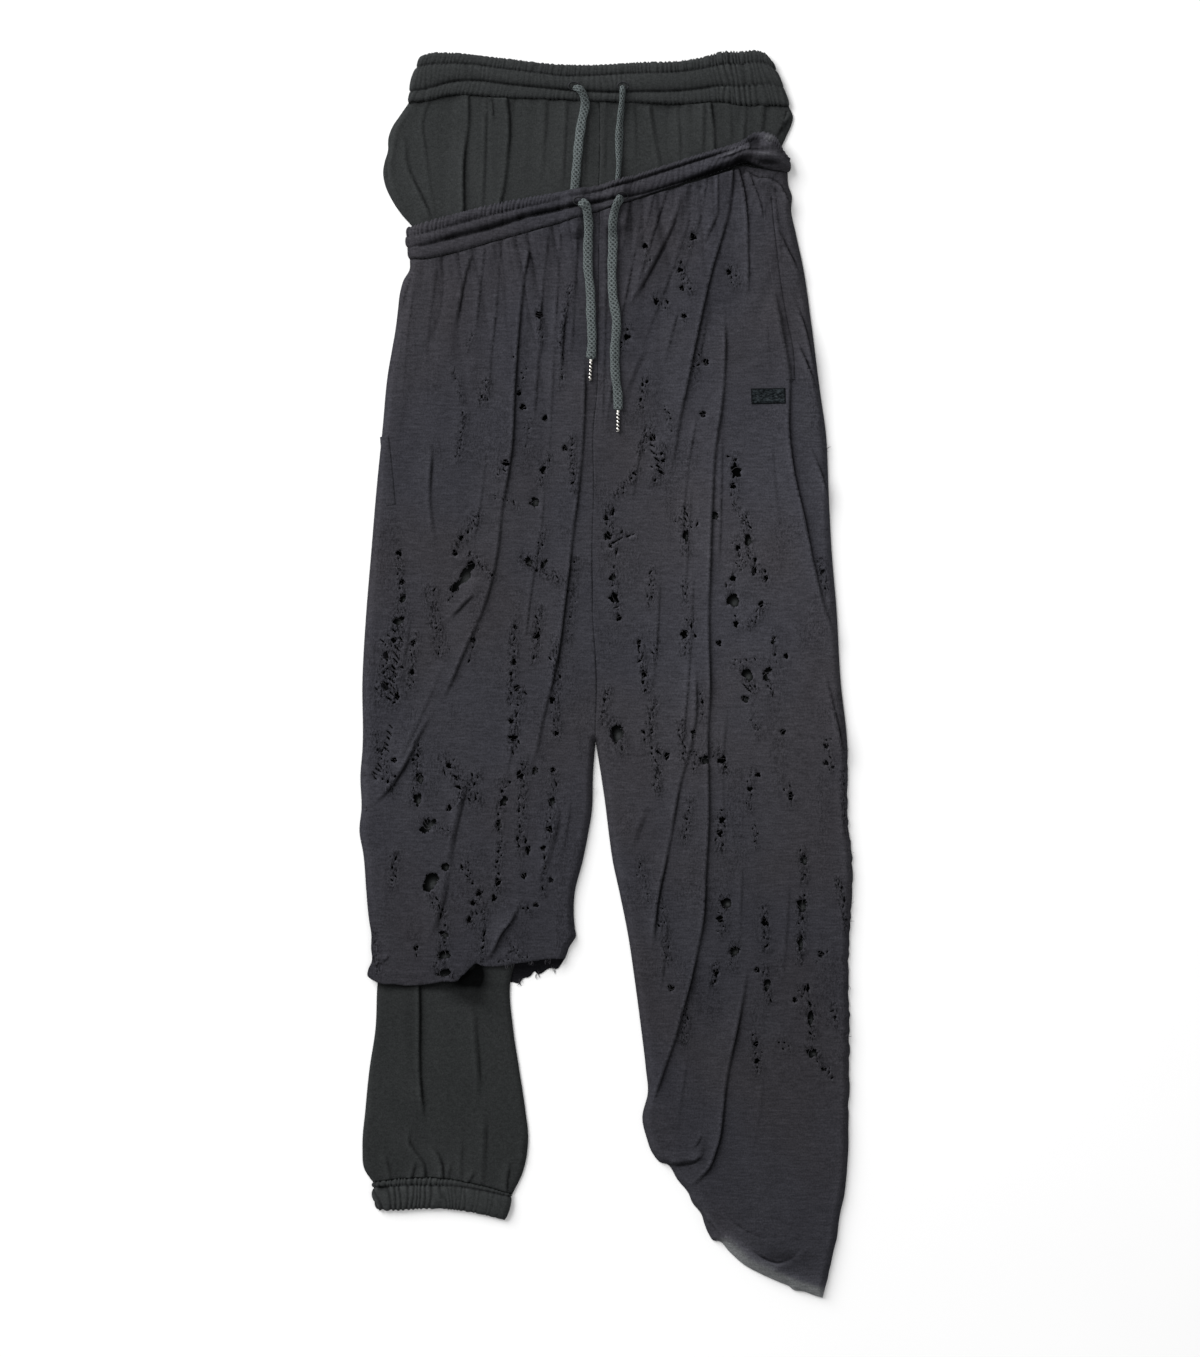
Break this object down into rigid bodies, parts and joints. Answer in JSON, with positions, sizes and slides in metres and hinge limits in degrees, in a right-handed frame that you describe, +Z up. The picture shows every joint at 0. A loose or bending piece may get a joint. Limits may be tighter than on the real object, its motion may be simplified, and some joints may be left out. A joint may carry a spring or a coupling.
{
  "type": "layered joggers laid flat",
  "caption": "Drawstring fleece joggers worn inside longer ripped jersey trousers, laid out flat; both have channelled elastic waists.",
  "frame": {"origin": "centre of the bounding box on the surface that the garment lies on", "axes": "+Y towards the waist, +X towards the wearer's left, +Z up from the surface"},
  "size_m": [0.4576, 1.157, 0.026],
  "materials": {
    "jersey": "thin washed cotton jersey, matt, with a slubbed and ripped surface",
    "fleece": "heavy cotton fleece, matt, smooth face",
    "cord": "flat braided cotton",
    "trim": "woven, matt",
    "tip": "satin metal"
  },
  "bodies": {
    "root": {"under_band_front": "fleece", "under_band_back": "fleece", "under_front_R": "fleece", "under_front_L": "fleece", "under_back_R": "fleece", "under_back_L": "fleece", "under_cuff_front_R": "fleece", "under_cuff_back_R": "fleece", "under_cuff_front_L": "fleece", "under_cuff_back_L": "fleece", "under_cord_R": "cord", "under_cord_L": "cord", "under_tip_R": "tip", "under_tip_L": "tip", "over_band_front": "jersey", "over_band_back": "jersey", "over_front_R": "jersey", "over_front_L": "jersey", "over_back_R": "jersey", "over_back_L": "jersey", "over_pocket_R": "trim", "over_pocket_L": "trim", "over_patch": "trim", "over_cord_R": "cord", "over_cord_L": "cord", "over_tip_R": "tip", "over_tip_L": "tip"}
  },
  "joints": []
}
